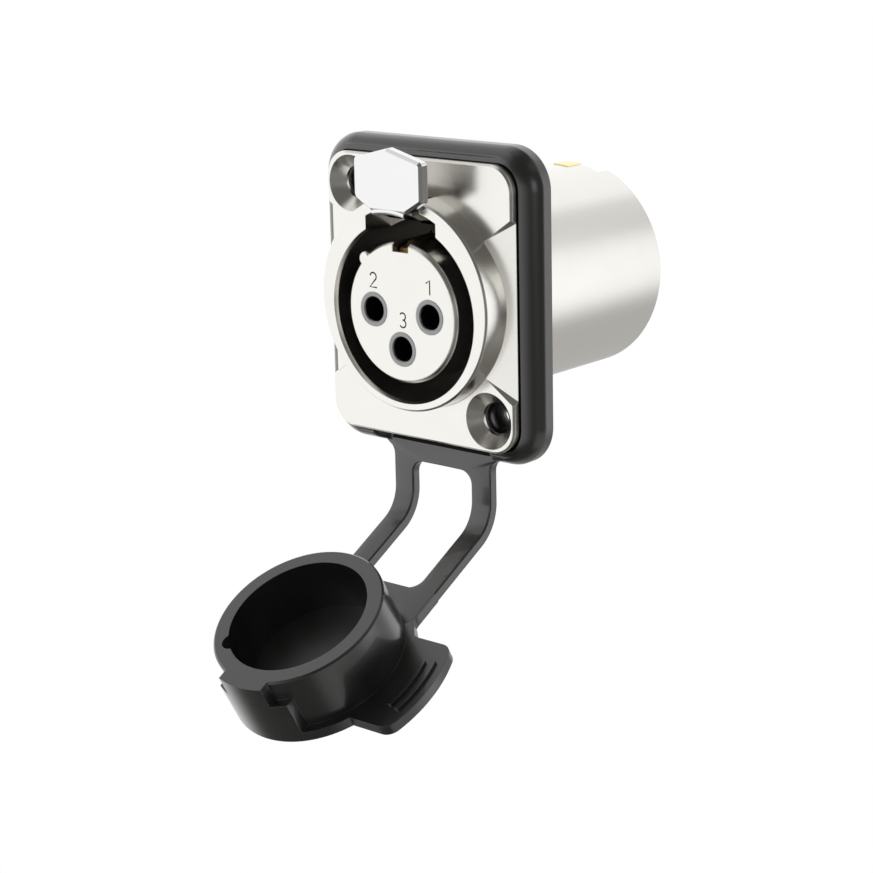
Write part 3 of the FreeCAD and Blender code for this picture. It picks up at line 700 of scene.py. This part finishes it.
@dataclass(frozen=True)
class RimBead:
    """Rounded front of the gasket's rim, from the flange's edge out to the gasket's edge.

    Its section is a circular arc, carried along the gasket's rounded rectangle. The run starts and ends
    at the strap, where the arc sinks into the strap's front face.
    """

    half_width: float = 15.05
    half_height: float = 17.2
    corner: float = 4.6
    reach_across: float = 1.88
    reach_up: float = 1.62
    inner_deg: float = 15.3
    outer_deg: float = 75.3
    edge_depth: float = 2.9
    foot_depth: float = 3.6
    foot_inset: float = 0.03
    start_x: float = 8.75
    end_x: float = -8.35
    taper: float = 1.6
    straight_steps: int = 14
    corner_steps: int = 17
    arc_steps: int = 15
    crisp_deg: float = 40.0

    def rail(self) -> Tuple[np.ndarray, np.ndarray, np.ndarray]:
        """Lay points around the gasket's edge: a straight run, four corner arcs and a straight run.

        Returns:
            The points, their outward directions and their distances to the nearer end.
        """
        w, h, r = self.half_width - self.corner, self.half_height - self.corner, self.corner
        below = -self.half_height
        begin = np.linspace(self.start_x - self.taper, w, self.straight_steps)[:-1]
        finish = np.linspace(-w, self.end_x + self.taper, self.straight_steps)[1:]
        points = [np.stack([begin, np.full_like(begin, below)], -1)]
        normals = [np.tile([0.0, -1.0], (len(begin), 1))]
        for x, z, first in ((w, -h, -90.0), (w, h, 0.0), (-w, h, 90.0), (-w, -h, 180.0)):
            turn = np.radians(np.linspace(first, first + 90.0, self.corner_steps))
            outward = np.stack([np.cos(turn), np.sin(turn)], -1)
            points.append(np.array([x, z]) + r * outward)
            normals.append(outward)
        points.append(np.stack([finish, np.full_like(finish, below)], -1))
        normals.append(np.tile([0.0, -1.0], (len(finish), 1)))
        spots = np.concatenate(points)
        steps = np.concatenate([[0.0], np.cumsum(np.hypot(*np.diff(spots, axis=0).T))])
        return spots, np.concatenate(normals), np.minimum(steps, steps[-1] - steps)

    def build(self, name: str) -> Piece:
        """Build the bead: the arc's share across and its rise, both scaled to the rim's reach.

        Args:
            name: Name of the piece.

        Returns:
            The object.
        """
        spots, outward, along = self.rail()
        turn = np.radians(np.linspace(self.outer_deg, self.inner_deg, self.arc_steps))
        low, high = turn[0], turn[-1]
        width = np.sin(low) - np.sin(high)
        share = (np.sin(low) - np.sin(turn)) / width
        drop = (np.cos(turn) - np.cos(low)) / width * self.reach_across
        share = np.concatenate([[self.foot_inset], share, [1.0, self.foot_inset]])
        front = np.concatenate([[0.0], drop, [0.0, 0.0]])
        foot = np.concatenate([[1.0], np.zeros(len(drop)), [1.0, 1.0]])
        rise = smooth(along / self.taper)[:, None]
        y = self.edge_depth - front[None, :] * rise + foot[None, :] * (self.foot_depth - self.edge_depth)
        x = spots[:, 0, None] - outward[:, 0, None] * share[None, :] * self.reach_across
        z = spots[:, 1, None] - outward[:, 1, None] * share[None, :] * self.reach_up
        return tube(name, x, y, z, self.crisp_deg)


@dataclass(frozen=True)
class ScrewSleeve:
    """Rubber lining of a screw hole: a rounded mouth, a straight wall and a lip at the back."""

    outer: float = 1.795
    wall: float = 1.53
    lip: float = 0.76
    mouth_depth: float = 1.72
    wall_depth: float = 2.6
    lip_depth: float = 3.45
    lip_round: float = 0.15
    lip_step: float = 0.02
    back_depth: float = 4.02
    arc_steps: int = 12
    steps: int = 72

    def build(self, name: str, x: float, z: float) -> Piece:
        """Build one sleeve: a quarter ellipse at the mouth and a quarter circle on the lip, turned once.

        Args:
            name: Name of the piece.
            x: Place of its axis across.
            z: Height of its axis.

        Returns:
            The object.
        """
        turn = np.linspace(0.0, math.pi / 2.0, self.arc_steps)
        mouth_r = self.wall + (self.outer - self.wall) * (1.0 - np.sin(turn))
        mouth_y = self.wall_depth - (self.wall_depth - self.mouth_depth) * np.cos(turn)
        lip_r = self.lip + self.lip_round * (1.0 - np.sin(turn))
        lip_y = self.lip_depth + self.lip_round * (1.0 - np.cos(turn))
        wall_end = [self.lip_depth - self.lip_step]
        radius = np.concatenate([mouth_r, [self.wall], lip_r, [self.lip, self.outer]])
        depth = np.concatenate([mouth_y, wall_end, lip_y, [self.back_depth, self.back_depth]])
        return lathe(name, np.stack([radius, depth], -1), (x, z), self.steps)


@dataclass(frozen=True)
class PaintedShadowChannel:
    """Shallow channel between the flange's lower edge and the strap, with a hollow front.

    Its near-black matt rubber is painted shadow for the dark gap under the flange.
    """

    start_x: float = -8.5
    end_x: float = 8.9
    top: float = -15.55
    bottom: float = -16.86
    front: float = 2.85
    hollow: float = 0.04
    shoulder: float = 0.1
    back: float = 3.2
    front_steps: int = 13
    run_steps: int = 25

    def build(self, name: str) -> Piece:
        """Build the channel: its front sinks in a half wave from edge to edge.

        Args:
            name: Name of the piece.

        Returns:
            The object.
        """
        share = np.linspace(0.0, 1.0, self.front_steps)
        x = np.linspace(self.start_x, self.end_x, self.run_steps)[:, None]
        shoulder = self.front + self.shoulder
        half_shoulder = self.front + self.shoulder / 2.0
        front_z = self.top + (self.bottom - self.top) * share
        front_y = self.front + self.hollow * np.sin(math.pi * share)
        z = np.concatenate([front_z, [self.bottom, self.bottom, self.top, self.top, self.top]])
        y = np.concatenate([front_y, [shoulder, self.back, self.back, shoulder, half_shoulder]])
        return tube(name, x, y, z)


@dataclass(frozen=True)
class CupFloor:
    """Slightly crowned satin disc that lines the floor of the cap's cup, in a lighter rubber that paints
    light.
    """

    radius: float = 7.79
    floor: float = 6.5
    crown: float = 0.10
    edge: float = 0.02
    below: float = 0.05
    pole: float = 0.02
    rings: int = 16
    steps: int = 96

    def build(self, name: str, path: StrapPath) -> Piece:
        """Build the disc in the cap's own frame: its height falls with the square of the radius.

        Args:
            name: Name of the piece.
            path: Strap path, which knows the cap's place and tilt.

        Returns:
            The object.
        """
        top = np.linspace(self.pole, 1.0, self.rings)
        under = self.floor + self.below
        radius = (np.concatenate([top, [1.0, self.pole]]) * self.radius)[:, None]
        crowned = self.floor - self.edge - self.crown * (1.0 - top ** 2)
        height = np.concatenate([crowned, [under, under]])[:, None]
        turn = np.linspace(0.0, 2.0 * math.pi, self.steps, endpoint=False)[None, :]
        y, z = path.cap_point(radius * np.sin(turn), height)
        return tube(name, radius * np.cos(turn), y, z)


@dataclass
class RubberMoulding:
    """Gasket, strap and cap: one moulding in the real thing."""

    strap: StrapSkin = field(default_factory=StrapSkin)
    bead: RimBead = field(default_factory=RimBead)
    sleeve: ScrewSleeve = field(default_factory=ScrewSleeve)
    channel: PaintedShadowChannel = field(default_factory=PaintedShadowChannel)
    cup_floor: CupFloor = field(default_factory=CupFloor)
    screw: Tuple[float, float] = (9.5, 12.0)
    upper_bend: Tuple[float, float] = (0.3, 2.2)
    lower_bend: Tuple[float, float] = (2.4, 0.1)

    def build(self) -> List[Piece]:
        """Make the strap, the rim's bead, the sleeves, the channel that paints a shadow and the cup's floor.

        Returns:
            The pieces, dressed; all but the strap's two are joined to their bodies.
        """
        skin = ROUND_EDGED_RUBBER.build()
        upper, lower = self.build_strap()
        x, z = self.screw
        bead = self.bead.build("gasket_bead")
        sleeves = [self.sleeve.build("screw_sleeve_1", x, -z), self.sleeve.build("screw_sleeve_2", -x, z)]
        channel = self.channel.build("strap_painted_shadow")
        floor = self.cup_floor.build("cup_floor", self.strap.path)
        for piece in (bead, *sleeves, channel):
            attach(piece, Body.SOCKET.value)
        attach(floor, Body.CAP.value)
        channel.data.materials.append(PAINTED_SHADOW_RUBBER.build())
        floor.data.materials.append(PAINTED_LIGHT_RUBBER.build())
        for piece in (upper, lower, bead, *sleeves):
            piece.data.materials.append(skin)
        pieces = [upper, lower, bead, *sleeves, channel, floor]
        return pieces

    def build_strap(self) -> Tuple[Piece, Piece]:
        """Make the strap's two pieces.

        Returns:
            The upper and the lower piece.
        """
        upper = self.strap.build("strap_upper", False)
        lower = self.strap.build("strap_lower", True)
        total = sum(self.strap.path.lengths())
        top, bottom = (self.spot(s) for s in self.upper_bend)
        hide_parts("cap_strap")
        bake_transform(upper)
        top, bottom = (self.spot(total - s) for s in self.lower_bend)
        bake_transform(lower)
        return upper, lower

    def spot(self, s: float) -> Vec3:
        """Point on the strap's middle at a distance along it, in metres."""
        y, z = self.strap.path.point(np.array(s), np.array(0.0))
        return (self.strap.centre * MM, (float(y) + PAD_DEPTH) * MM, float(z) * MM)


@dataclass(frozen=True)
class TabLip:
    """Quarter-round lip under the push tab, carried along the tab's arched foot."""

    radius: float = 10.42
    half_deg: float = 12.6
    drop: float = 0.55
    front: float = -4.69
    depth: float = 0.6
    cover: float = 0.1
    inset: float = 0.02
    arc_steps: int = 10
    steps: int = 33

    def build(self, name: str, material: bpy.types.Material) -> Piece:
        """Build the lip: a quarter ellipse from the tab's face down to its underside.

        Args:
            name: Name of the piece.
            material: The lever's material.

        Returns:
            The object.
        """
        turn = np.linspace(0.0, math.pi / 2.0, self.arc_steps)
        covered = self.radius + self.cover
        back = self.front + self.depth
        radius = np.concatenate([self.radius - self.drop * np.sin(turn), [covered, covered]])
        y = np.concatenate([self.front + self.depth * (1.0 - np.cos(turn)), [back, self.front + self.inset]])
        angle = np.radians(np.linspace(-self.half_deg, self.half_deg, self.steps))[:, None]
        piece = tube(name, radius * np.sin(angle), y, radius * np.cos(angle))
        piece.data.materials.append(material)
        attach(piece, Body.LATCH.value)
        return piece


@dataclass(frozen=True)
class Numerals:
    """Contact numerals as thin strokes on the carrier's face, above their contacts, dark with painted groove
    shade.
    """

    face: float = -2.82
    stroke: float = 0.17
    proud: float = 0.006
    sunk: float = 0.02
    lift: float = 3.23
    pitch: float = 3.96
    middle: float = -0.9
    lowest_shift: float = 0.15

    def arc(self, z: float, width: float, height: float, start_deg: float, step_deg: float) -> np.ndarray:
        """Thirteen points on an ellipse around the numeral's upright middle line, half a step apart."""
        turn = np.radians(start_deg - step_deg * np.arange(13) / 2.0)
        return np.stack([width * np.cos(turn), z + height * np.sin(turn)], -1)

    def strokes(self) -> Dict[str, Tuple[np.ndarray, Tuple[float, float]]]:
        """Draw each numeral as one line, in millimetres from its own middle.

        Returns:
            The line of each piece and the place of its contact.
        """
        one = np.array([[-0.42, 0.42], [0.12, 0.80], [0.12, -0.80]])
        two = np.concatenate([self.arc(0.36, 0.44, 0.44, 170.0, 38.0), [[-0.5, -0.8], [0.52, -0.8]]])
        upper = self.arc(0.40, 0.40, 0.40, 150.0, 40.0)
        lower = self.arc(-0.38, 0.44, 0.42, 90.0, 40.0)
        return {
            "numeral_1": (one, (self.pitch, self.middle)),
            "numeral_2": (two, (-self.pitch, self.middle)),
            "numeral_3": (np.concatenate([upper, lower]), (self.lowest_shift, self.middle - self.pitch)),
        }

    def build(self) -> List[Piece]:
        """Build the three numerals, each a ribbon of even width along its line.

        Returns:
            The pieces.
        """
        material = NUMERAL_GROOVE_SHADE.build()
        corners = ((1.0, -self.proud), (-1.0, -self.proud), (-1.0, self.sunk), (1.0, self.sunk))
        y = np.array([self.face + depth for _, depth in corners])
        pieces = []
        for name, (line, contact) in self.strokes().items():
            along = np.gradient(line, axis=0)
            along /= np.linalg.norm(along, axis=1)[:, None]
            across = np.stack([-along[:, 1], along[:, 0]], -1) * self.stroke / 2.0
            edges = np.stack([line + sign * across for sign, _ in corners], 1)
            x = edges[..., 0] + contact[0]
            piece = tube(name, x, y, edges[..., 1] + contact[1] + self.lift)
            piece.data.materials.append(material)
            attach(piece, Body.SOCKET.value)
            pieces.append(piece)
        return pieces


@dataclass(frozen=True)
class LightWall:
    """One soft panel around the object, as a band of azimuth and a band of elevation, in degrees.

    Azimuth is counted from the socket's front towards +X. A panel's brightness takes the place of what
    lies behind it by the product of two cubic steps, one across and one up.
    """

    azimuth: float
    half_width: float
    border: float
    elevation: float
    half_height: float
    edge: float
    level: float

    def mask(self, sheet: NodeSheet, around: Socket, height: Socket) -> Socket:
        """Where the panel covers the sky.

        Args:
            sheet: Node sheet of the world.
            around: Azimuth of the direction.
            height: Elevation of the direction.

        Returns:
            1 on the panel and 0 off it.
        """
        turned = sheet.calculate("SUBTRACT", around, math.radians(self.azimuth))
        turned = sheet.calculate("WRAP", turned, math.pi, -math.pi)
        risen = sheet.calculate("SUBTRACT", height, math.radians(self.elevation))
        across = self.band(sheet, turned, self.half_width, self.border)
        return sheet.calculate("MULTIPLY", across, self.band(sheet, risen, self.half_height, self.edge))

    def band(self, sheet: NodeSheet, angle: Socket, half: float, border: float) -> Socket:
        """Cubic step from 1 inside a half width to 0 outside it, across a soft border.

        Args:
            sheet: Node sheet of the world.
            angle: Angle from the band's middle line.
            half: Half width, in degrees.
            border: Width of the border, in degrees.

        Returns:
            The step.
        """
        step = sheet.add(
            "ShaderNodeMapRange", interpolation_type="SMOOTHSTEP", To_Min=1.0, To_Max=0.0,
            From_Min=math.radians(half - border / 2.0), From_Max=math.radians(half + border / 2.0),
            Value=sheet.calculate("ABSOLUTE", angle))
        return step.outputs["Result"]


@dataclass
class Studio:
    """Camera, sky of soft panels, and floor."""

    azimuth: float = 41.017
    elevation: float = 14.781
    roll: float = -1.310
    distance_mm: float = 249.834
    focal_px: float = 2317.09
    frame_px: float = 873.0
    origin_px: Tuple[float, float] = (418.594, 300.857)
    sensor_mm: float = 36.0
    clip_m: Tuple[float, float] = (0.005, 20.0)
    floor_z: float = -0.20
    floor_half: float = 3.0
    floor_tone: Vec3 = (0.85, 0.85, 0.85)
    floor_roughness: float = 0.9
    sky_base: float = 0.13
    shade_tint: Vec3 = (1.02, 0.985, 0.94)
    walls: Tuple[LightWall, ...] = (
        LightWall(180.0, 65.0, 40.0, -35.0, 45.0, 30.0, 0.50),
        LightWall(180.0, 62.0, 40.0, 38.0, 16.0, 16.0, 0.78),
        LightWall(110.0, 40.0, 30.0, 52.0, 10.0, 14.0, 0.36),
        LightWall(96.0, 34.0, 24.0, -40.0, 19.0, 10.0, 0.58),
        LightWall(-160.0, 30.0, 14.0, 18.0, 30.0, 10.0, 1.13),
        LightWall(137.0, 12.0, 14.0, 2.0, 28.0, 24.0, 1.28),
        LightWall(67.0, 10.0, 12.0, 8.0, 11.0, 12.0, 1.35),
        LightWall(-30.0, 52.0, 70.0, -14.0, 22.0, 18.0, 1.0),
        LightWall(-80.0, 58.0, 30.0, 2.0, 44.0, 22.0, 1.14),
        LightWall(-85.0, 58.0, 60.0, 60.0, 12.0, 16.0, 0.86),
        LightWall(-100.0, 60.0, 60.0, 80.0, 8.0, 10.0, 0.42),
    )

    def place_camera(self) -> None:
        """Put the camera where the photograph was seen from, with the same focal length."""
        az, el, roll = (math.radians(v) for v in (self.azimuth, self.elevation, self.roll))
        back = Vector((math.sin(az) * math.cos(el), -math.cos(az) * math.cos(el), math.sin(el)))
        level = Vector((math.cos(az), math.sin(az), 0.0))
        rise = back.cross(level)
        right = level * math.cos(roll) + rise * math.sin(roll)
        up = rise * math.cos(roll) - level * math.sin(roll)
        half = self.frame_px / 2.0
        x = (self.origin_px[0] - half) / self.focal_px * self.distance_mm
        y = -(self.origin_px[1] - half) / self.focal_px * self.distance_mm
        spot = (back * self.distance_mm - right * x - up * y) * MM + Vector((0.0, PAD_DEPTH * MM, 0.0))
        camera = bpy.data.cameras.new("photo_camera")
        camera.sensor_fit = "HORIZONTAL"
        camera.sensor_width = self.sensor_mm
        camera.lens = self.focal_px / self.frame_px * self.sensor_mm
        camera.clip_start, camera.clip_end = self.clip_m
        holder = bpy.data.objects.new("photo_camera", camera)
        turn = Matrix((right, up, back)).transposed()
        holder.matrix_world = Matrix.Translation(spot) @ turn.to_4x4()
        bpy.context.scene.collection.objects.link(holder)
        bpy.context.scene.camera = holder

    def light_sky(self) -> None:
        """Build the sky: white for camera and transmission rays, the panels for all other rays."""
        world = bpy.data.worlds.new("studio")
        bpy.context.scene.world = world
        world.use_nodes = True
        world.node_tree.nodes.clear()
        sheet = NodeSheet(world.node_tree)
        level = self.sky_level(sheet)
        tint = sheet.mix_colours(level, (*self.shade_tint, 1.0), WHITE)
        studio = sheet.add("ShaderNodeBackground", Color=tint, Strength=level)
        white = sheet.add("ShaderNodeBackground", Color=WHITE)
        path = sheet.add("ShaderNodeLightPath").outputs
        seen = sheet.calculate("MAXIMUM", path["Is Camera Ray"], path["Is Transmission Ray"])
        sky = sheet.mix_shaders(seen, studio, white)
        sheet.add("ShaderNodeOutputWorld", Surface=sky.outputs[0])

    def sky_level(self, sheet: NodeSheet) -> Socket:
        """Lay the panels one over the other, over the dark base, by azimuth and elevation.

        Args:
            sheet: Node sheet of the world.

        Returns:
            The brightness of the sky in each direction.
        """
        place = sheet.add("ShaderNodeTexCoord").outputs["Generated"]
        split = sheet.add("ShaderNodeSeparateXYZ", Vector=place).outputs
        front = sheet.calculate("MULTIPLY", split["Y"], -1.0)
        around = sheet.calculate("ARCTAN2", split["X"], front)
        height = sheet.calculate("ARCSINE", split["Z"])
        level: object = self.sky_base
        for wall in self.walls:
            mask = wall.mask(sheet, around, height)
            level = sheet.add("ShaderNodeMix", A=level, B=wall.level, Factor=mask).outputs["Result"]
        return level

    def lay_floor(self) -> None:
        """Lay a wide pale floor below the object: white to the camera, clear to glossy rays."""
        signs = np.array([[-1.0, -1.0], [1.0, -1.0], [1.0, 1.0], [-1.0, 1.0]])
        corners = np.column_stack([signs * self.floor_half, np.full(len(signs), self.floor_z)]) / MM
        floor = mesh_piece("floor", corners, np.arange(len(signs))[None, :])
        material, sheet = blank_material("pale_floor")
        pale = sheet.add("ShaderNodeBsdfPrincipled", Base_Color=(*self.floor_tone, 1.0),
                         Roughness=self.floor_roughness)
        glow = sheet.add("ShaderNodeEmission", Color=WHITE, Strength=1.0)
        clear = sheet.add("ShaderNodeBsdfTransparent")
        path = sheet.add("ShaderNodeLightPath").outputs
        seen = sheet.mix_shaders(path["Is Glossy Ray"], pale, clear)
        ground = sheet.mix_shaders(path["Is Camera Ray"], seen, glow)
        sheet.add("ShaderNodeOutputMaterial", Surface=ground.outputs[0])
        floor.data.materials.append(material)

    def build(self) -> None:
        """Set up camera, sky and floor."""
        self.place_camera()
        self.light_sky()
        self.lay_floor()
        bpy.context.scene.view_settings.view_transform = "Standard"


def main() -> None:
    """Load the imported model, build and dress every piece, and set up the studio."""
    logging.basicConfig(level=logging.INFO, format="%(message)s")
    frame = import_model()
    nodes = PackedNodes(frame)
    nodes.prepare()
    nodes.dress()
    lip = TabLip().build("tab_lip", nodes.materials[Slot.LEVER])
    for piece in [lip] + RubberMoulding().build() + Numerals().build():
        LOG.info("built %s", piece.name)
    Studio().build()


if __name__ == "__main__":
    main()
